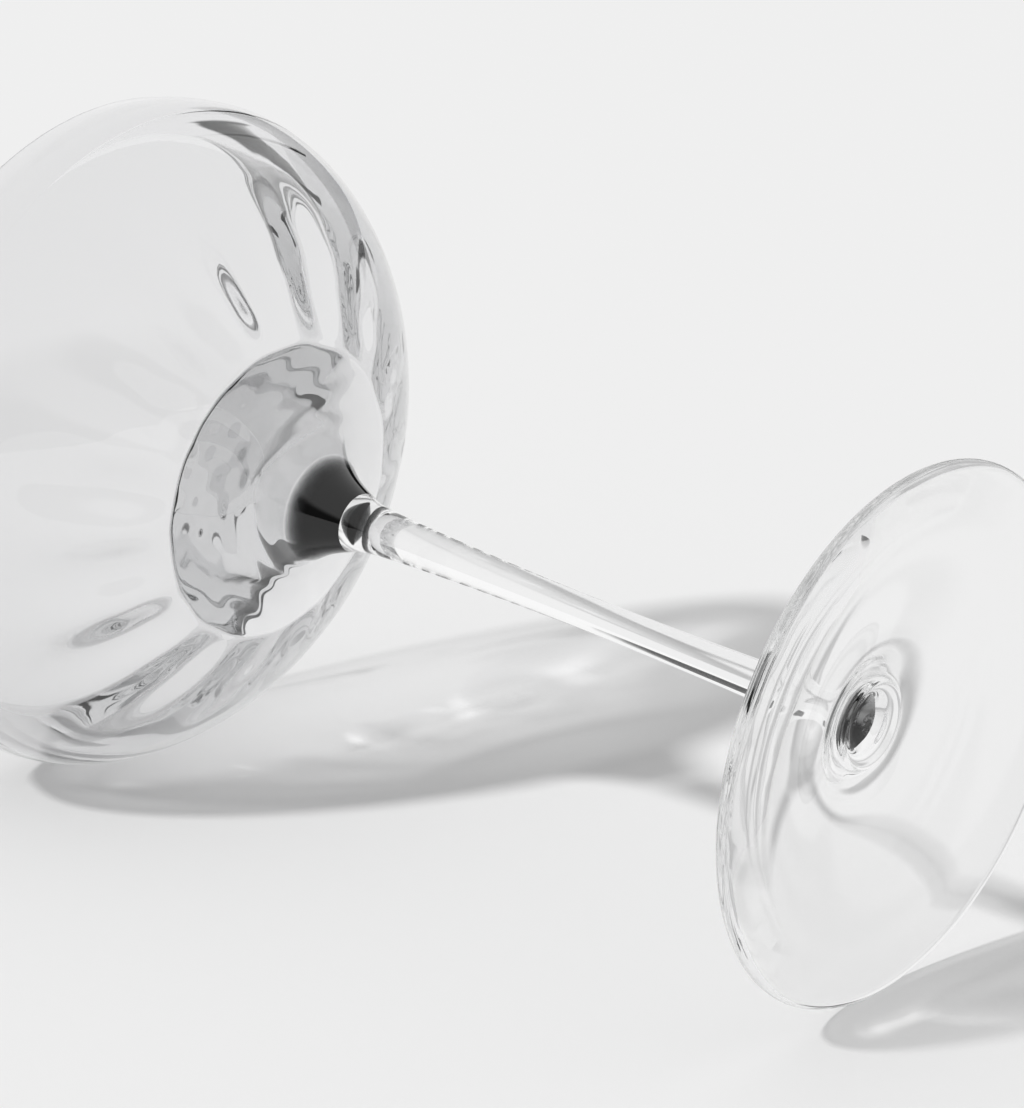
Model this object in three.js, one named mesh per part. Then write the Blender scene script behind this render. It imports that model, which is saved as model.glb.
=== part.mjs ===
// Champagne coupe: foot, stem, dark smoke drop and optic-ribbed saucer bowl.
// Millimetres, +Z up along the stem, the foot's resting ring on z = 0.
import * as THREE from "three";

// Foot
const FOOT_RADIUS = 35;
const EDGE_HEIGHT = 2;
const EDGE_ROUND = 1.2;
const REST_INNER = 27.5;
const KICK_HEIGHT = 5.9;
const MARK_RADIUS = 5.4;
const MARK_LIP = 0.5;
const MARK_LIP_WIDTH = 0.6;
const MARK_DEPTH = -0.9;
const MARK_SPREAD = 3.4;
const TOP_RISE = 5;
const BOSS_RADIUS = 3.9;
const BOSS_RISE = 4.6;
const BOSS_SPREAD = 3.6;

// Stem
const WAIST_RADIUS = 2.2;
const WAIST_HEIGHT = 48;
const SHOULDER_GAIN = 1.085;
const ROOT_GAIN = 0.71;
const STEM_TOP_SPREAD = 1.795;
const STEM_FOOT_SPREAD = 2.1;

// Bowl, outside
const BOWL_RADIUS = 46.5;
const BOWL_DEPTH = 31;
const BOWL_POWER = 1.75;
const BELT_HEIGHT = 129.5;
const RIM_HEIGHT = 137;
const RIM_CLOSE = 1.1;

// Trumpet that draws the bowl down to the stem
const JOIN_RADIUS = 4;
const TRUMPET_DROP = 9.824;
const TRUMPET_SPREAD = 3.4;
const DROP_RADIUS = 7.4;

// Bowl, inside: a wall that thickens up to the belt and thins to the rim, and a floor that rises as a cone
const WALL = 1.3;
const WALL_THIN = 0.8;
const THIN_RADIUS = 19;
const WALL_WEDGE = 0.14;
const FLOOR_HEIGHT = 5.4;
const FLOOR_EASE = 0.12;
const CONE_SLOPE = 0.34;
const CONE_RADIUS = 20.5;
const CONE_TIP = 3;

// Optic ribs: one moulded wave round the wall, strong inside and faint outside
const RIB_COUNT = 15;
const RIB_INSIDE = 0.6;
const RIB_OUTSIDE = 0.04;
const RIB_TURN = 0.428;
const RIB_START = 15;
const RIB_FULL = 25;
const RIB_FADE = 27;
const RIB_END = 41;

// Facets
const RIB_FACETS = 6;
const FOOT_FACETS = 48;
const STEM_FACETS = 24;
const DROP_FACETS = 36;

// Height of the plain saucer's outside at a given radius, below the belt
function saucerHeight(radius) {
  const share = Math.pow(radius / BOWL_RADIUS, BOWL_POWER);
  return BELT_HEIGHT - BOWL_DEPTH * Math.pow(Math.max(1 - share, 0), 1 / BOWL_POWER);
}

// The outside of bowl and drop is one curve: the saucer, pulled down towards the stem
function outsideHeight(radius) {
  const pull = TRUMPET_DROP * Math.exp((JOIN_RADIUS - radius) / TRUMPET_SPREAD);
  return saucerHeight(radius) - pull;
}

const JOIN_HEIGHT = outsideHeight(JOIN_RADIUS);
const DROP_HEIGHT = outsideHeight(DROP_RADIUS);

// The saucer's angle from level, for the superellipse's own angle
function saucerLean(turn) {
  const across = Math.cos(turn) * Math.pow(Math.sin(turn), 2 / BOWL_POWER - 1);
  const along = Math.sin(turn) * Math.pow(Math.cos(turn), 2 / BOWL_POWER - 1);
  return Math.atan2(BOWL_DEPTH * along, BOWL_RADIUS * across);
}

// A rounded corner: near 0 below zero, near the value itself above it
function eased(value, ease) {
  return ease * Math.log1p(Math.exp(value / ease));
}

function wallThickness(radius) {
  return WALL_THIN + WALL_WEDGE * eased(radius - THIN_RADIUS, 1);
}

// The higher of the wall and a low cone, whose height is taken from the saucer's lowest point
function floorHeight(wall, radius) {
  const rise = CONE_SLOPE * (CONE_RADIUS - Math.hypot(radius, CONE_TIP));
  const cone = saucerHeight(0) + FLOOR_HEIGHT + rise;
  return cone + eased(wall - cone, FLOOR_EASE);
}

function footTop(radius) {
  const cone = TOP_RISE * (1 - radius / (FOOT_RADIUS - EDGE_ROUND));
  return EDGE_HEIGHT + cone + BOSS_RISE * Math.exp((BOSS_RADIUS - radius) / BOSS_SPREAD);
}

const BOSS_HEIGHT = footTop(BOSS_RADIUS);

function footUnder(radius) {
  const hollow = KICK_HEIGHT * Math.pow(1 - Math.pow(radius / REST_INNER, 2), 2);
  const lip = MARK_LIP * Math.exp(-Math.pow((radius - MARK_RADIUS) / MARK_LIP_WIDTH, 2));
  const mark = MARK_DEPTH * Math.exp(-Math.pow(radius / MARK_SPREAD, 4));
  return hollow - lip + mark;
}

function stemRadius(height) {
  const up = Math.max(height - WAIST_HEIGHT, 0) / (JOIN_HEIGHT - WAIST_HEIGHT);
  const down = Math.max(WAIST_HEIGHT - height, 0) / (WAIST_HEIGHT - BOSS_HEIGHT);
  const topFlare = JOIN_RADIUS - WAIST_RADIUS - SHOULDER_GAIN;
  const footFlare = BOSS_RADIUS - WAIST_RADIUS - ROOT_GAIN;
  return WAIST_RADIUS
    + SHOULDER_GAIN * up * up
    + topFlare * Math.exp((height - JOIN_HEIGHT) / STEM_TOP_SPREAD)
    + ROOT_GAIN * down * down
    + footFlare * Math.exp((BOSS_HEIGHT - height) / STEM_FOOT_SPREAD);
}

// Even steps from one value to another, both ends included
function steps(from, to, count) {
  return Array.from({ length: count + 1 }, (_, i) => from + (to - from) * i / count);
}

function point(radius, height) {
  return new THREE.Vector2(radius, height);
}

// The outward normal of a profile at one of its points, between the two neighbours
function outward(profile, number) {
  const before = profile[Math.max(number - 1, 0)];
  const after = profile[Math.min(number + 1, profile.length - 1)];
  return point(after.y - before.y, before.x - after.x).normalize();
}

// A solid of revolution about +Z; wave gives how far each ring moves out on the crest of a rib
function turned(profile, facets, wave) {
  const geometry = new THREE.LatheGeometry(profile, facets);
  const position = geometry.getAttribute("position");
  for (let i = 0; wave && i < position.count; i += 1) {
    const number = i % profile.length;
    const angle = 2 * Math.PI * (Math.floor(i / profile.length) % facets) / facets;
    const shift = wave[number] * Math.cos(RIB_COUNT * (angle - Math.PI / 2 - RIB_TURN));
    const moved = outward(profile, number).multiplyScalar(shift).add(profile[number]);
    position.setXYZ(i, moved.x * Math.sin(angle), moved.y, moved.x * Math.cos(angle));
  }
  geometry.rotateX(Math.PI / 2);
  geometry.computeVertexNormals();
  return geometry;
}

function named(name, geometry, colour, roughness) {
  const material = new THREE.MeshStandardMaterial({ color: colour, roughness, metalness: 0 });
  const mesh = new THREE.Mesh(geometry, material);
  mesh.name = name;
  return mesh;
}

function makeFoot() {
  const underneath = [0, 1.5, 2.6, 3.6, 4.4, 4.9, 5.4, 5.9, 6.5, 8, 10.5, 13, 18, 23, REST_INNER]
    .map((radius) => point(radius, radius === REST_INNER ? 0 : footUnder(radius)));
  const middle = EDGE_HEIGHT / 2;
  const edge = steps(-Math.PI / 2, Math.PI / 2, 8).map((turn) => point(
    FOOT_RADIUS - EDGE_ROUND + EDGE_ROUND * Math.cos(turn), middle + middle * Math.sin(turn)));
  const top = [27, 20, 14, 10.5, 8, 6.2, 5, BOSS_RADIUS]
    .map((radius) => point(radius, footTop(radius)));
  const profile = [...underneath, ...edge, ...top, point(0, BOSS_HEIGHT)];
  return named("foot", turned(profile, FOOT_FACETS), 0xeef1f2, 0.04);
}

function makeStem() {
  const near = steps(0, 1, 18).map((share) => BOSS_HEIGHT
    + (JOIN_HEIGHT - BOSS_HEIGHT) * (share - Math.sin(2 * Math.PI * share) / (2.6 * Math.PI)));
  const side = near.map((height) => point(stemRadius(height), height));
  const profile = [point(0, BOSS_HEIGHT), ...side, point(0, JOIN_HEIGHT)];
  return named("stem", turned(profile, STEM_FACETS), 0xeef1f2, 0.04);
}

function makeDrop() {
  const side = steps(JOIN_RADIUS, DROP_RADIUS, 8)
    .map((radius) => point(radius, outsideHeight(radius)));
  const profile = [point(0, JOIN_HEIGHT), ...side, point(0, DROP_HEIGHT)];
  return named("smoke_drop", turned(profile, DROP_FACETS), 0x141617, 0.05);
}

// How much of the rib wave is there: none on the thick base, all on the wall, none at the belt
function ribShare(radius) {
  const rise = THREE.MathUtils.smoothstep(radius, RIB_START, RIB_FULL);
  return rise * (1 - THREE.MathUtils.smoothstep(radius, RIB_FADE, RIB_END));
}

function makeBowl() {
  const belt = Math.PI / 2;
  const lowest = Math.asin(Math.pow(DROP_RADIUS / BOWL_RADIUS, BOWL_POWER / 2));
  const outside = steps(lowest, belt, 12).map((turn) => {
    const radius = BOWL_RADIUS * Math.pow(Math.sin(turn), 2 / BOWL_POWER);
    return point(radius, outsideHeight(radius));
  });
  const rise = RIM_HEIGHT - WALL / 2 - BELT_HEIGHT;
  const closing = (share) => RIM_CLOSE * share * share;
  const wallUp = steps(0, 1, 3).slice(1)
    .map((share) => point(BOWL_RADIUS - closing(share), BELT_HEIGHT + rise * share));
  const rimMiddle = BOWL_RADIUS - RIM_CLOSE - WALL / 2;
  const rim = steps(0, Math.PI, 4).slice(1, -1).map((turn) => point(
    rimMiddle + WALL / 2 * Math.cos(turn), RIM_HEIGHT - WALL / 2 + WALL / 2 * Math.sin(turn)));
  const thinning = (share) => THREE.MathUtils.lerp(
    wallThickness(BOWL_RADIUS), WALL, THREE.MathUtils.smoothstep(share, 0, 1));
  const wallDown = steps(1, 0, 5)
    .map((share) => point(BOWL_RADIUS - thinning(share) - closing(share), BELT_HEIGHT + rise * share));
  const inside = steps(belt, 0, 18).slice(1, -1).map((turn) => {
    const radius = BOWL_RADIUS * Math.pow(Math.sin(turn), 2 / BOWL_POWER);
    const thick = wallThickness(radius);
    const lean = saucerLean(turn);
    const reach = radius - thick * Math.sin(lean);
    return point(reach, floorHeight(saucerHeight(radius) + thick * Math.cos(lean), reach));
  });
  inside.push(point(0, floorHeight(saucerHeight(0) + WALL_THIN, 0)));
  const outer = [point(0, DROP_HEIGHT), ...outside, ...wallUp];
  const inner = [...wallDown, ...inside];
  const share = (sample) => ribShare(sample.x);
  const wave = [
    ...outer.map((sample) => RIB_OUTSIDE * share(sample)),
    ...rim.map(() => 0),
    ...inner.map((sample) => RIB_INSIDE * share(sample)),
  ];
  const profile = [...outer, ...rim, ...inner];
  return named("bowl", turned(profile, RIB_COUNT * RIB_FACETS, wave), 0xc9cdcf, 0.04);
}

const coupe = new THREE.Group();
coupe.name = "champagne_coupe";
coupe.add(makeFoot(), makeStem(), makeDrop(), makeBowl());

export default coupe;
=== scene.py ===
"""Champagne coupe lying on a pale table: a smoke bowl with optic ribs, a dark drop, a clear stem and foot.

Every piece is a turned surface computed from formulas. The lengths of the glass are in millimetres until
its mesh is made, and those of the table, the camera and the light are in metres.
"""

import bpy
import numpy as np
from mathutils import Matrix, Vector


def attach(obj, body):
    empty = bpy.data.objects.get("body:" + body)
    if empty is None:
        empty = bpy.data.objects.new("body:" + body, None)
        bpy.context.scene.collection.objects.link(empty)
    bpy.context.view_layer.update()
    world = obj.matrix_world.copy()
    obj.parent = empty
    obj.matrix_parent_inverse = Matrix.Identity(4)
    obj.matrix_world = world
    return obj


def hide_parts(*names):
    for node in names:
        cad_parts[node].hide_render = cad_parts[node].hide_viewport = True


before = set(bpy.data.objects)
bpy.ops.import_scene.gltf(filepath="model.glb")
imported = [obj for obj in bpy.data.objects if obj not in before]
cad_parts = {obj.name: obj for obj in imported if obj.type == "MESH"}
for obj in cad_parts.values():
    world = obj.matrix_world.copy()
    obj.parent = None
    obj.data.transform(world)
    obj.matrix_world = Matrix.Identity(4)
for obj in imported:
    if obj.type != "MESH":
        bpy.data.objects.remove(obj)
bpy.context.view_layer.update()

# Foot
FOOT_RADIUS = 35.0
EDGE_HEIGHT = 2.0
EDGE_ROUND = 1.2
REST_INNER = 27.5
KICK_HEIGHT = 5.9
MARK_RADIUS = 5.4
MARK_LIP = 0.5
MARK_LIP_WIDTH = 0.6
MARK_DEPTH = -0.9
MARK_SPREAD = 3.4
MARK_REACH = 9.0
TOP_RISE = 5.0
BOSS_RADIUS = 3.9
BOSS_RISE = 4.6
BOSS_SPREAD = 3.6

# Stem
WAIST_RADIUS = 2.2
WAIST_HEIGHT = 48.0
SHOULDER_GAIN = 1.085
ROOT_GAIN = 0.71
STEM_TOP_SPREAD = 1.795
STEM_FOOT_SPREAD = 2.1

# Outside of bowl and drop
BOWL_RADIUS = 46.5
BOWL_DEPTH = 31.0
BOWL_POWER = 1.75
BELT_HEIGHT = 129.5
RIM_HEIGHT = 137.0
RIM_CLOSE = 1.1
JOIN_RADIUS = 4.0
TRUMPET_DROP = 9.824
TRUMPET_SPREAD = 3.4
DROP_RADIUS = 7.4

# Inside of the bowl
WALL = 1.3
WALL_THIN = 0.8
THIN_RADIUS = 19.0
WALL_WEDGE = 0.14
FLOOR_HEIGHT = 5.4
FLOOR_EASE = 0.12
CONE_SLOPE = 0.34
CONE_RADIUS = 20.5
CONE_TIP = 3.0

# Optic ribs
RIB_COUNT = 15
RIB_INSIDE = 0.6
RIB_OUTSIDE = 0.04
RIB_TURN = 0.428
RIB_START = 19.0
RIB_FULL = 26.0
RIB_FADE = 27.0
RIB_END = 41.0

# Hand-blown unevenness of the inside: each wave has its radians in a millimetre on two axes, and a phase
HAND_DEPTH = 0.035
HAND_BROAD = (0.71, 0.35, 1.1)
HAND_CROSS = (0.28, -0.83, 0.0)
HAND_FINE = (1.07, -0.66, 0.4)
HAND_FINE_SHARE = 0.6
HAND_SWAY = 0.31
HAND_FADE = (24.0, 40.0)

# Seams: flat, but the drop's lower end is fused as a bulge inside an open ring of the joint
SEAT_GAP = 0.01
JOIN_FUSED = 1.8
JOIN_BULGE = 2.4

# Meshes: points on each stretch of a profile, columns of faces round the axis, and the angle of a crease
MM = 0.001
MARK_POINTS = 70
HOLLOW_POINTS = 41
EDGE_POINTS = 29
TOP_POINTS = 70
STEM_POINTS = 130
STEM_EASE = 2.6
JOINT_POINTS = 13
DROP_POINTS = 60
OUTSIDE_POINTS = 110
RIM_POINTS = 17
LIP_POINTS = 13
INSIDE_POINTS = 150
FOOT_COLUMNS = 240
STEM_COLUMNS = 120
DROP_COLUMNS = 180
RIB_COLUMNS = 22
CREASE_DEGREES = 38

# Glass: colours, how strongly they absorb, and how much lamplight passes edge on and face on
WHITE = (1, 1, 1, 1)
PALE_TINT = (0.905, 0.905, 0.91, 1)
DROP_COLOUR = (0.012, 0.013, 0.015, 1)
CLEAR_ABSORBS = (0.3, 0.31, 0.31, 1)
PALE_ABSORBS = (0.10, 0.11, 0.12, 1)
DARK_ABSORBS = (0.02, 0.025, 0.03, 1)
STEM_DENSITY = 0.03
FOOT_DENSITY = 3.0
BOWL_DENSITY = 11.0
DROP_DENSITY = 1300.0
CLEAR_SHADE = (0.2, 0.97)
PALE_SHADE = (0.05, 0.96)
DARK_SHADE = (0.1, 0.6)
SHADE_BLEND = 0.35
GLASS_INDEX = 1.53
LIP_FADE = 2.5

# Ripple of the glass: its depth in metres, then the scale of its noise in waves to a metre
RIPPLE_DEPTH = 0.00004
RIPPLE_SCALE = 90.0
RIPPLE_DETAIL = 1.5
RIPPLE_DISTORTION = 0.6


def smoothstep(value, low, high):
    """The usual cubic ease from 0 at low to 1 at high."""
    share = np.clip((value - low) / (high - low), 0, 1)
    return share * share * (3 - 2 * share)


def saucer_height(radius):
    """Height of the plain saucer's outside: the lower half of a superellipse."""
    share = np.clip(1 - (radius / BOWL_RADIUS) ** BOWL_POWER, 0, None)
    return BELT_HEIGHT - BOWL_DEPTH * share ** (1 / BOWL_POWER)


def outside_height(radius):
    """Height of the outside of bowl and drop: the saucer, pulled down exponentially near the stem."""
    return saucer_height(radius) - TRUMPET_DROP * np.exp((JOIN_RADIUS - radius) / TRUMPET_SPREAD)


def saucer_lean(turn):
    """Angle of the saucer's outside from level, for the superellipse's own angle."""
    across = np.cos(turn) * np.sin(turn) ** (2 / BOWL_POWER - 1)
    along = np.sin(turn) * np.cos(turn) ** (2 / BOWL_POWER - 1)
    return np.arctan2(BOWL_DEPTH * along, BOWL_RADIUS * across)


def wall_thickness(radius):
    """Thickness of the bowl's wall below the belt: thin round the floor, then a wedge outwards."""
    return WALL_THIN + WALL_WEDGE * np.logaddexp(0, radius - THIN_RADIUS)


def floor_height(wall, radius):
    """Height of the bowl's inside: the higher of the wall and a blunt low cone, with an eased corner.

    The cone's height is taken from the saucer's lowest point.
    """
    rise = CONE_SLOPE * (CONE_RADIUS - np.hypot(radius, CONE_TIP))
    cone = saucer_height(0.0) + FLOOR_HEIGHT + rise
    return FLOOR_EASE * np.logaddexp(wall / FLOOR_EASE, cone / FLOOR_EASE)


def foot_top(radius):
    """Height of the foot's upper side: a low cone with an exponential boss round the stem."""
    cone = TOP_RISE * (1 - radius / (FOOT_RADIUS - EDGE_ROUND))
    return EDGE_HEIGHT + cone + BOSS_RISE * np.exp((BOSS_RADIUS - radius) / BOSS_SPREAD)


def foot_under(radius):
    """Height of the foot's underside: a smooth hollow with a lipped central mark."""
    hollow = KICK_HEIGHT * np.clip(1 - (radius / REST_INNER) ** 2, 0, None) ** 2
    lip = MARK_LIP * np.exp(-(((radius - MARK_RADIUS) / MARK_LIP_WIDTH) ** 2))
    mark = MARK_DEPTH * np.exp(-((radius / MARK_SPREAD) ** 4))
    return hollow - lip + mark


JOIN_HEIGHT = float(outside_height(np.array(JOIN_RADIUS)))
DROP_HEIGHT = float(outside_height(np.array(DROP_RADIUS)))
BOSS_HEIGHT = float(foot_top(np.array(BOSS_RADIUS)))


def stem_radius(height):
    """Radius of the drawn stem: a waist, widening by squares, with an exponential flare at each end."""
    up = np.clip(height - WAIST_HEIGHT, 0, None) / (JOIN_HEIGHT - WAIST_HEIGHT)
    down = np.clip(WAIST_HEIGHT - height, 0, None) / (WAIST_HEIGHT - BOSS_HEIGHT)
    top_flare = JOIN_RADIUS - WAIST_RADIUS - SHOULDER_GAIN
    foot_flare = BOSS_RADIUS - WAIST_RADIUS - ROOT_GAIN
    radius = WAIST_RADIUS + SHOULDER_GAIN * up**2 + ROOT_GAIN * down**2
    radius = radius + top_flare * np.exp((height - JOIN_HEIGHT) / STEM_TOP_SPREAD)
    return radius + foot_flare * np.exp((BOSS_HEIGHT - height) / STEM_FOOT_SPREAD)


def hand_waves(across, along):
    """The small unevenness of a hand-blown inside: crossed cosines on the plan, faded out to the belt."""

    def phase(wave):
        """A wave's angle at each place: a plane over the two axes."""
        return wave[0] * across + wave[1] * along + wave[2]

    broad = np.cos(phase(HAND_BROAD)) * np.cos(phase(HAND_CROSS))
    fine = np.cos(phase(HAND_FINE) + np.sin(HAND_SWAY * along))
    fade = 1 - smoothstep(np.hypot(across, along), *HAND_FADE)
    return HAND_DEPTH * (broad + HAND_FINE_SHARE * fine) * fade


def placed(thing):
    """Puts an object into the scene, and gives it back."""
    bpy.context.scene.collection.objects.link(thing)
    return thing


def column(radii, heights):
    """Pairs of radius and height, one row for each point of a profile."""
    radii, heights = np.broadcast_arrays(np.atleast_1d(radii), np.atleast_1d(heights))
    return np.stack([radii, heights], axis=1).astype(float)


def turned(name, profile, columns, seat, wave=None):
    """A closed surface of profile point and angle: a profile that runs from axis to axis, turned about +Z.

    wave(number, radius, angle) moves each point out along the profile's normal. seat numbers the
    profile's steps that lie against the next piece: their faces hold 1 in the seat attribute and in
    the list that is given back with the piece, and the others hold 0.
    """
    angle = np.linspace(0, 2 * np.pi, columns, endpoint=False)
    along = np.gradient(profile, axis=0)
    normal = np.stack([along[:, 1], -along[:, 0]], axis=1)
    normal = normal / np.linalg.norm(normal, axis=1, keepdims=True)
    number = np.arange(1, len(profile) - 1)[:, np.newaxis]
    radius = profile[1:-1, :1]
    height = profile[1:-1, 1:]
    shift = wave(number, radius, angle) if wave else np.zeros((1, columns))
    reach = radius + shift * normal[1:-1, :1]
    rise = height + shift * normal[1:-1, 1:]
    rings = np.stack([reach * np.cos(angle), reach * np.sin(angle), rise], axis=2).reshape(-1, 3)
    first_pole = [[0.0, 0.0, profile[0, 1]]]
    last_pole = [[0.0, 0.0, profile[-1, 1]]]
    points = np.concatenate([first_pole, rings, last_pole])
    here = np.arange(1, len(points) - 1).reshape(-1, columns)
    after = np.roll(here, -1, axis=1)
    first_fan = np.stack([np.zeros(columns, dtype=int), after[0], here[0]], axis=1)
    bands = np.stack([here[:-1], after[:-1], after[1:], here[1:]], axis=2).reshape(-1, 4)
    last_fan = np.stack([here[-1], after[-1], np.full(columns, len(points) - 1)], axis=1)
    faces = first_fan.tolist() + bands.tolist() + last_fan.tolist()
    seats = np.repeat(np.isin(np.arange(len(profile) - 1), seat), columns)
    mesh = bpy.data.meshes.new(name)
    mesh.from_pydata((points * MM).tolist(), [], faces)
    mesh.polygons.foreach_set("use_smooth", np.ones(len(faces), dtype=bool))
    mark = mesh.attributes.new("seat", "FLOAT", "FACE")
    mark.data.foreach_set("value", seats.astype(np.float32))
    mesh.update()
    mesh.set_sharp_from_angle(angle=np.radians(CREASE_DEGREES))
    return placed(bpy.data.objects.new(name, mesh)), seats.astype(np.int32)


def make_foot():
    """Underside from the axis outwards, the rounded edge, then the top side in to the boss."""
    inner = np.linspace(0, MARK_REACH, MARK_POINTS)
    outer = np.linspace(MARK_REACH, REST_INNER, HOLLOW_POINTS)[1:]
    under = np.concatenate([inner, outer])
    edge = np.linspace(-np.pi / 2, np.pi / 2, EDGE_POINTS)
    middle = EDGE_HEIGHT / 2
    top = np.geomspace(FOOT_RADIUS - EDGE_ROUND, BOSS_RADIUS, TOP_POINTS)[1:]
    profile = np.concatenate([
        column(under, foot_under(under)),
        column(FOOT_RADIUS - EDGE_ROUND + EDGE_ROUND * np.cos(edge), middle + middle * np.sin(edge)),
        column(top, foot_top(top)),
        column(0, BOSS_HEIGHT),
    ])
    return turned("coupe_foot", profile, FOOT_COLUMNS, seat=(len(profile) - 2,))


def joint():
    """The seam of stem and drop from the axis outwards: a fused paraboloid, open beyond its edge."""
    radius = np.linspace(0, JOIN_FUSED, JOINT_POINTS)
    return column(radius, JOIN_HEIGHT - JOIN_BULGE * (1 - (radius / JOIN_FUSED) ** 2))


def make_stem():
    """The drawn rod between the foot's boss and the dark drop, with closer steps at both ends."""
    share = np.linspace(0, 1, STEM_POINTS)
    share = share - np.sin(2 * np.pi * share) / (STEM_EASE * np.pi)
    height = BOSS_HEIGHT + SEAT_GAP + (JOIN_HEIGHT - BOSS_HEIGHT - 2 * SEAT_GAP) * share
    bulge = joint()[::-1] - (0, SEAT_GAP)
    side = column(stem_radius(height), height)
    profile = np.concatenate([column(0, height[0]), side, bulge])
    fused = range(len(side) + 1, len(profile) - 1)
    return turned("coupe_stem", profile, STEM_COLUMNS, seat=(0, *fused))


def make_drop():
    """The trumpet of dark glass, bulged into the stem and flat under the bowl."""
    radius = np.linspace(JOIN_RADIUS, DROP_RADIUS, DROP_POINTS)
    height = outside_height(radius)
    height[-1] = height[-1] - SEAT_GAP
    bulge = joint()
    profile = np.concatenate([bulge, column(radius, height), column(0, height[-1])])
    fused = range(len(bulge) - 1)
    return turned("coupe_smoke_drop", profile, DROP_COLUMNS, seat=(*fused, len(profile) - 2))


def make_bowl():
    """Outside from the drop to the rim, a round lip, and the inside down to the axis."""
    belt = np.pi / 2
    lowest = np.arcsin((DROP_RADIUS / BOWL_RADIUS) ** (BOWL_POWER / 2))
    turn = np.linspace(lowest, belt, OUTSIDE_POINTS)
    radius = BOWL_RADIUS * np.sin(turn) ** (2 / BOWL_POWER)
    outside = column(radius, outside_height(radius))
    rise = RIM_HEIGHT - WALL / 2 - BELT_HEIGHT
    share = np.linspace(0, 1, RIM_POINTS)
    wall_up = column(BOWL_RADIUS - RIM_CLOSE * share**2, BELT_HEIGHT + rise * share)[1:]
    lip_turn = np.linspace(0, np.pi, LIP_POINTS)[1:-1]
    lip = column(
        BOWL_RADIUS - RIM_CLOSE - WALL / 2 + WALL / 2 * np.cos(lip_turn),
        RIM_HEIGHT - WALL / 2 + WALL / 2 * np.sin(lip_turn),
    )
    thick_belt = wall_thickness(BOWL_RADIUS)
    thick = thick_belt + (WALL - thick_belt) * smoothstep(share, 0, 1)
    wall_down = column(BOWL_RADIUS - thick - RIM_CLOSE * share**2, BELT_HEIGHT + rise * share)[::-1]
    turn = np.linspace(belt, 0, INSIDE_POINTS)[1:-1]
    radius = BOWL_RADIUS * np.sin(turn) ** (2 / BOWL_POWER)
    lean = saucer_lean(turn)
    thick = wall_thickness(radius)
    wall = saucer_height(radius) + thick * np.cos(lean)
    radius = radius - thick * np.sin(lean)
    height = floor_height(wall, radius)
    inside = np.concatenate([column(radius, height), column(0, height[-1])])
    outer = np.concatenate([column(0, outside[0, 1]), outside, wall_up])
    profile = np.concatenate([outer, lip, wall_down, inside])
    last_outer = len(outer)
    first_inner = last_outer + len(lip)

    def ribs(number, radius, angle):
        """One cosine round the axis from floor to belt: faint outside, deep and uneven inside."""
        share = smoothstep(radius, RIB_START, RIB_FULL) * (1 - smoothstep(radius, RIB_FADE, RIB_END))
        crest = np.cos(RIB_COUNT * (angle - RIB_TURN))
        uneven = hand_waves(radius * np.cos(angle), radius * np.sin(angle))
        faint = RIB_OUTSIDE * share * crest
        deep = RIB_INSIDE * share * crest + uneven
        return np.select([number < last_outer, number >= first_inner], [faint, deep], 0.0)

    return turned("coupe_bowl", profile, RIB_COUNT * RIB_COLUMNS, seat=(0,), wave=ribs)


def grey(level):
    """A plain grey as a colour."""
    return (level, level, level, 1)


def new_material(name):
    """An empty node material, with its tree and output node."""
    material = bpy.data.materials.new(name)
    material.use_nodes = True
    tree = material.node_tree
    tree.nodes.clear()
    return material, tree, tree.nodes.new("ShaderNodeOutputMaterial")


def ramp(tree, source, low, high, start=0.0, stop=1.0):
    """A smooth step of a value between two limits."""
    step = tree.nodes.new("ShaderNodeMapRange")
    step.interpolation_type = "SMOOTHSTEP"
    step.inputs["From Min"].default_value = low
    step.inputs["From Max"].default_value = high
    step.inputs["To Min"].default_value = start
    step.inputs["To Max"].default_value = stop
    tree.links.new(source, step.inputs["Value"])
    return step.outputs["Result"]


def combined(tree, operation, first, second):
    """The product or the maximum of two node values."""
    node = tree.nodes.new("ShaderNodeMath")
    node.operation = operation
    tree.links.new(first, node.inputs[0])
    tree.links.new(second, node.inputs[1])
    return node.outputs["Value"]


def mixed_colour(tree, factor, first, second):
    """A colour between two plain ones, by a node value."""
    node = tree.nodes.new("ShaderNodeMix")
    node.data_type = "RGBA"
    node.inputs["A"].default_value = first
    node.inputs["B"].default_value = second
    tree.links.new(factor, node.inputs["Factor"])
    return node.outputs["Result"]


def mixed_shader(tree, factor, first, second):
    """A share of each of two shaders, by a node value."""
    node = tree.nodes.new("ShaderNodeMixShader")
    tree.links.new(factor, node.inputs["Fac"])
    tree.links.new(first, node.inputs[1])
    tree.links.new(second, node.inputs[2])
    return node.outputs["Shader"]


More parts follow.
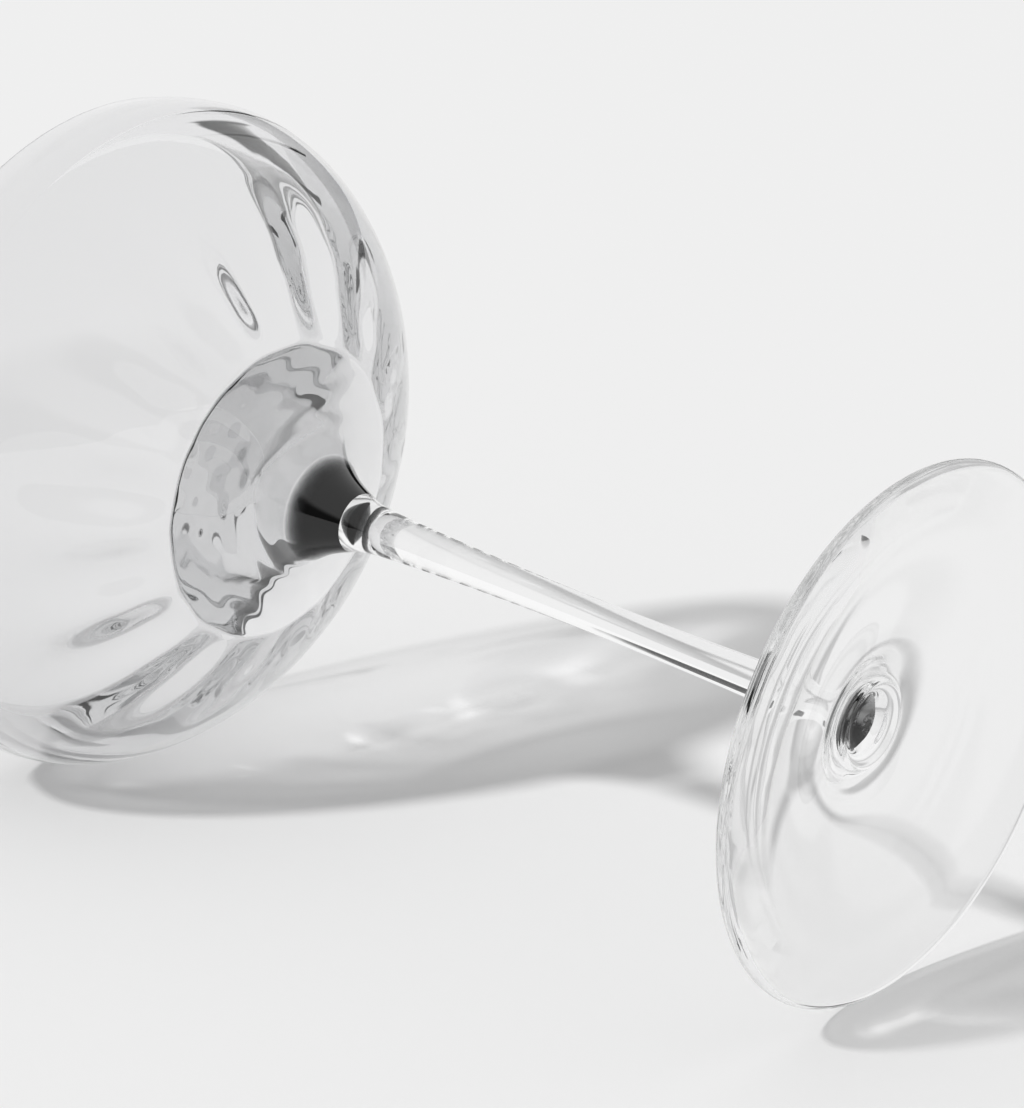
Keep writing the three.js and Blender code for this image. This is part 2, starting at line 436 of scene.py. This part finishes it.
def ripple_group():
    """The faint unevenness of blown glass as a normal: soft noise with waves about 11 mm long."""
    group = bpy.data.node_groups.new("blown_ripple", "ShaderNodeTree")
    group.interface.new_socket("Depth", in_out="INPUT", socket_type="NodeSocketFloat")
    group.interface.new_socket("Normal", in_out="OUTPUT", socket_type="NodeSocketVector")
    nodes, links = group.nodes, group.links
    start = nodes.new("NodeGroupInput")
    end = nodes.new("NodeGroupOutput")
    where = nodes.new("ShaderNodeTexCoord")
    waves = nodes.new("ShaderNodeTexNoise")
    waves.inputs["Scale"].default_value = RIPPLE_SCALE
    waves.inputs["Detail"].default_value = RIPPLE_DETAIL
    waves.inputs["Distortion"].default_value = RIPPLE_DISTORTION
    links.new(where.outputs["Object"], waves.inputs["Vector"])
    bump = nodes.new("ShaderNodeBump")
    bump.inputs["Strength"].default_value = 1.0
    links.new(start.outputs["Depth"], bump.inputs["Distance"])
    links.new(waves.outputs["Fac"], bump.inputs["Height"])
    links.new(bump.outputs["Normal"], end.inputs["Normal"])
    return group


def lip_colour(tree, deep, tint):
    """The drop's own dark colour, which fades out to the tint where the drop ends in its thin lip."""
    where = tree.nodes.new("ShaderNodeTexCoord")
    apart = tree.nodes.new("ShaderNodeSeparateXYZ")
    tree.links.new(where.outputs["Object"], apart.inputs["Vector"])
    near_lip = ramp(tree, apart.outputs["Z"], (DROP_HEIGHT - LIP_FADE) * MM, DROP_HEIGHT * MM)
    return mixed_colour(tree, near_lip, deep, tint)


def open_seats(tree, surface):
    """The surface, with nothing to be seen on the faces that the seat attribute marks."""
    mark = tree.nodes.new("ShaderNodeAttribute")
    mark.attribute_name = "seat"
    through = tree.nodes.new("ShaderNodeBsdfTransparent")
    return mixed_shader(tree, mark.outputs["Fac"], surface, through.outputs["BSDF"])


def glass(name, tint, shade, absorbs, density, deep=None):
    """Blown glass: a Principled dielectric, clear to lamps by a facing shade, dark inside by absorption.

    With deep, the glass has that colour of its own up to the drop's lip, and its seats are open.
    """
    material, tree, output = new_material(name)
    nodes, links = tree.nodes, tree.links
    body = nodes.new("ShaderNodeBsdfPrincipled")
    body.inputs["Base Color"].default_value = tint
    body.inputs["Roughness"].default_value = 0.0
    body.inputs["IOR"].default_value = GLASS_INDEX
    body.inputs["Transmission Weight"].default_value = 1.0
    uneven = nodes.new("ShaderNodeGroup")
    uneven.node_tree = ripple
    uneven.inputs["Depth"].default_value = RIPPLE_DEPTH
    links.new(uneven.outputs["Normal"], body.inputs["Normal"])
    facing = nodes.new("ShaderNodeLayerWeight")
    facing.inputs["Blend"].default_value = SHADE_BLEND
    edge, face = shade
    tone = mixed_colour(tree, facing.outputs["Facing"], grey(face), grey(edge))
    through = nodes.new("ShaderNodeBsdfTransparent")
    links.new(tone, through.inputs["Color"])
    path = nodes.new("ShaderNodeLightPath")
    to_lamp = path.outputs["Is Shadow Ray"]
    surface = mixed_shader(tree, to_lamp, body.outputs["BSDF"], through.outputs["BSDF"])
    if deep:
        links.new(lip_colour(tree, deep, tint), body.inputs["Base Color"])
        surface = open_seats(tree, surface)
    links.new(surface, output.inputs["Surface"])
    inside = nodes.new("ShaderNodeVolumeAbsorption")
    inside.inputs["Color"].default_value = absorbs
    inside.inputs["Density"].default_value = density
    links.new(inside.outputs["Volume"], output.inputs["Volume"])
    return material


def seam_material():
    """The fused seam between two pieces: no optical surface at all."""
    material, tree, output = new_material("fused_seam")
    through = tree.nodes.new("ShaderNodeBsdfTransparent")
    tree.links.new(through.outputs["BSDF"], output.inputs["Surface"])
    return material


def dress(made, node, slot, *materials):
    """Gives a piece its glass, and its seats the second material where there is one.

    The piece then stands for its solid on the one body.
    """
    piece, seats = made
    for material in materials:
        piece.data.materials.append(material)
    if len(materials) > 1:
        piece.data.polygons.foreach_set("material_index", seats)
    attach(piece, "root")
    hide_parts(node)
    piece.cycles.is_caustics_caster = True


ripple = ripple_group()
seam = seam_material()
stem_glass = glass("blown_clear_glass", WHITE, CLEAR_SHADE, CLEAR_ABSORBS, STEM_DENSITY)
foot_glass = glass("thick_clear_glass", WHITE, CLEAR_SHADE, CLEAR_ABSORBS, FOOT_DENSITY)
bowl_glass = glass("blown_pale_smoke_glass", PALE_TINT, PALE_SHADE, PALE_ABSORBS, BOWL_DENSITY)
drop_glass = glass("blown_dark_smoke_glass", WHITE, DARK_SHADE, DARK_ABSORBS, DROP_DENSITY, DROP_COLOUR)

dress(make_foot(), "foot", "clear_glass", foot_glass, seam)
dress(make_stem(), "stem", "clear_glass", stem_glass, seam)
dress(make_drop(), "smoke_drop", "dark_smoke_glass", drop_glass)
dress(make_bowl(), "bowl", "pale_smoke_glass", bowl_glass, seam)

# Table: the plane on the +Y side that the foot's edge and the bowl, just below its belt, lie on
TOUCH_BELOW_BELT = 1.0
LEAN = np.arctan2(BOWL_RADIUS - FOOT_RADIUS, BELT_HEIGHT - TOUCH_BELOW_BELT - EDGE_HEIGHT / 2)
TABLE_UP = Vector((0.0, -np.cos(LEAN), np.sin(LEAN)))
TABLE_GAP = 0.00005
TABLE_HALF = 6.0
TABLE_WHITE = 0.82

# Camera, with its focal length and the photograph's height in pixels
CAMERA_AT = Vector((-0.45955, -0.24717, -0.30661))
CAMERA_FORWARD = Vector((0.72044, 0.38128, 0.57930))
CAMERA_UP = Vector((0.24931, -0.92185, 0.29669))
CAMERA_RIGHT = CAMERA_FORWARD.cross(CAMERA_UP).normalized()
TABLE_AWAY = TABLE_UP.cross(CAMERA_RIGHT).normalized()
PHOTO_FOCAL = 5000
PHOTO_HEIGHT = 1108
SENSOR_WIDTH = 36.0

# Light: the key, what the camera and the glass see as plain white, and what lights the table
SUN_STRENGTH = 2.3
SUN_DEGREES = 5
SUN_SHINE = CAMERA_RIGHT * 0.95 + TABLE_AWAY * 0.45 - TABLE_UP
SHEET = 0.871
SKY_LIGHT = 0.55

# Cove that the glass mirrors: a white dome, its dim side, and the limits of its dark flag
COVE_RADIUS = 4.0
COVE_COLUMNS = 48
COVE_ROWS = 24
COVE_WHITE = 0.95
COVE_DIM = 0.12
ROOM_SIDE = TABLE_AWAY * -1.0 + CAMERA_RIGHT * 0.2 - TABLE_UP * 1.4
ROOM_EDGE = (0.0, 0.4)
FLAG_SLANT = 0.8
FLAG_LOW = (0.2, 0.24)
FLAG_HIGH = (0.5, 0.56)
FLAG_AHEAD = (0.7, 0.82)
FLAG_RIGHT = (0.08, 0.14)
FLAG_DARK = 0.03

# Bounces: light turns many times inside the thick foot before it leaves
GLASS_BOUNCES = 64
OPEN_BOUNCES = 24


def make_camera():
    """The photograph's view: a long lens, some 19 degrees above the table, towards the foot's underside."""
    data = bpy.data.cameras.new("photo_camera")
    data.sensor_width = SENSOR_WIDTH
    data.lens = SENSOR_WIDTH * PHOTO_FOCAL / PHOTO_HEIGHT
    camera = placed(bpy.data.objects.new("photo_camera", data))
    up = CAMERA_RIGHT.cross(CAMERA_FORWARD)
    turn = Matrix((CAMERA_RIGHT, up, -CAMERA_FORWARD)).transposed().to_4x4()
    camera.matrix_world = Matrix.Translation(CAMERA_AT) @ turn
    bpy.context.scene.camera = camera


def make_table():
    """A pale plane under the glass, seen only from above."""
    material, tree, output = new_material("pale_table")
    paper = tree.nodes.new("ShaderNodeBsdfDiffuse")
    paper.inputs["Color"].default_value = grey(TABLE_WHITE)
    through = tree.nodes.new("ShaderNodeBsdfTransparent")
    side = tree.nodes.new("ShaderNodeNewGeometry")
    sheet = mixed_shader(tree, side.outputs["Backfacing"], paper.outputs["BSDF"], through.outputs["BSDF"])
    tree.links.new(sheet, output.inputs["Surface"])
    middle = Vector((0, FOOT_RADIUS * MM, EDGE_HEIGHT / 2 * MM)) - TABLE_UP * TABLE_GAP
    corners = []
    for right, away in ((-1, -1), (1, -1), (1, 1), (-1, 1)):
        corners.append(middle + CAMERA_RIGHT * right * TABLE_HALF + TABLE_AWAY * away * TABLE_HALF)
    mesh = bpy.data.meshes.new("table")
    mesh.from_pydata(corners, [], [(0, 1, 2, 3)])
    mesh.materials.append(material)
    table = placed(bpy.data.objects.new("table", mesh))
    table.cycles.is_caustics_receiver = True


def make_sun():
    """A soft key from the left of the picture and behind the camera, about 44 degrees above the table."""
    data = bpy.data.lights.new("key", "SUN")
    data.energy = SUN_STRENGTH
    data.angle = np.radians(SUN_DEGREES)
    data.cycles.is_caustics_light = True
    lamp = placed(bpy.data.objects.new("key", data))
    lamp.rotation_mode = "QUATERNION"
    lamp.rotation_quaternion = SUN_SHINE.normalized().to_track_quat("-Z", "Y")
    lamp.visible_transmission = False


def make_world():
    """A plain pale surround: one level to the camera and the glass, another to light the table."""
    world = bpy.data.worlds.new("studio")
    bpy.context.scene.world = world
    world.use_nodes = True
    tree = world.node_tree
    tree.nodes.clear()
    output = tree.nodes.new("ShaderNodeOutputWorld")
    light = tree.nodes.new("ShaderNodeBackground")
    light.inputs["Color"].default_value = grey(SKY_LIGHT)
    sheet = tree.nodes.new("ShaderNodeBackground")
    sheet.inputs["Color"].default_value = grey(SHEET)
    path = tree.nodes.new("ShaderNodeLightPath")
    seen = combined(tree, "MAXIMUM", path.outputs["Is Camera Ray"], path.outputs["Is Glossy Ray"])
    seen = combined(tree, "MAXIMUM", seen, path.outputs["Is Transmission Ray"])
    surround = mixed_shader(tree, seen, light.outputs["Background"], sheet.outputs["Background"])
    tree.links.new(surround, output.inputs["Surface"])


def make_cove():
    """The studio that the glass mirrors: a white dome, dimmer behind the camera, with a dark flag ahead.

    What it sends through the glass to the table is no brighter than the open sky's light there.
    """
    material, tree, output = new_material("studio_cove")
    where = tree.nodes.new("ShaderNodeTexCoord")

    def along(axis):
        """How far a point of the dome lies along an axis, in shares of the dome's radius."""
        dot = tree.nodes.new("ShaderNodeVectorMath")
        dot.operation = "DOT_PRODUCT"
        dot.inputs[1].default_value = axis / COVE_RADIUS
        tree.links.new(where.outputs["Object"], dot.inputs[0])
        return dot.outputs["Value"]

    def product(first, second):
        """Two node values multiplied."""
        return combined(tree, "MULTIPLY", first, second)

    room = ramp(tree, along(ROOM_SIDE), *ROOM_EDGE, COVE_WHITE, COVE_DIM)
    slant = along(TABLE_UP + CAMERA_RIGHT * FLAG_SLANT)
    flag = product(ramp(tree, slant, *FLAG_LOW), ramp(tree, slant, *FLAG_HIGH, 1.0, 0.0))
    flag = product(flag, ramp(tree, along(TABLE_AWAY), *FLAG_AHEAD))
    flag = product(flag, ramp(tree, along(CAMERA_RIGHT), *FLAG_RIGHT))
    level = product(room, ramp(tree, flag, 0.0, 1.0, 1.0, FLAG_DARK))
    path = tree.nodes.new("ShaderNodeLightPath")
    onto_table = ramp(tree, path.outputs["Diffuse Depth"], 0.0, 1.0, 1.0, SKY_LIGHT / COVE_WHITE)
    glow = tree.nodes.new("ShaderNodeEmission")
    tree.links.new(product(level, onto_table), glow.inputs["Strength"])
    tree.links.new(glow.outputs["Emission"], output.inputs["Surface"])
    material.cycles.emission_sampling = "NONE"
    turn = np.linspace(0, 2 * np.pi, COVE_COLUMNS + 1)
    lift = np.linspace(-np.pi / 2, np.pi / 2, COVE_ROWS + 1)
    turn, lift = np.meshgrid(turn, lift)
    grid = np.stack([np.cos(lift) * np.cos(turn), np.cos(lift) * np.sin(turn), np.sin(lift)], axis=2)
    row, step = np.meshgrid(np.arange(COVE_ROWS), np.arange(COVE_COLUMNS), indexing="ij")
    corner = row * (COVE_COLUMNS + 1) + step
    above = corner + COVE_COLUMNS + 1
    faces = np.stack([corner, corner + 1, above + 1, above], axis=2)
    mesh = bpy.data.meshes.new("studio_cove")
    mesh.from_pydata((grid.reshape(-1, 3) * COVE_RADIUS).tolist(), [], faces.reshape(-1, 4).tolist())
    mesh.materials.append(material)
    cove = placed(bpy.data.objects.new("studio_cove", mesh))
    cove.visible_camera = False
    cove.visible_diffuse = False
    cove.visible_shadow = False


make_camera()
make_table()
make_sun()
make_world()
make_cove()

scene = bpy.context.scene
scene.view_settings.view_transform = "Standard"
scene.cycles.max_bounces = GLASS_BOUNCES
scene.cycles.transmission_bounces = GLASS_BOUNCES
scene.cycles.glossy_bounces = GLASS_BOUNCES
scene.cycles.transparent_max_bounces = OPEN_BOUNCES
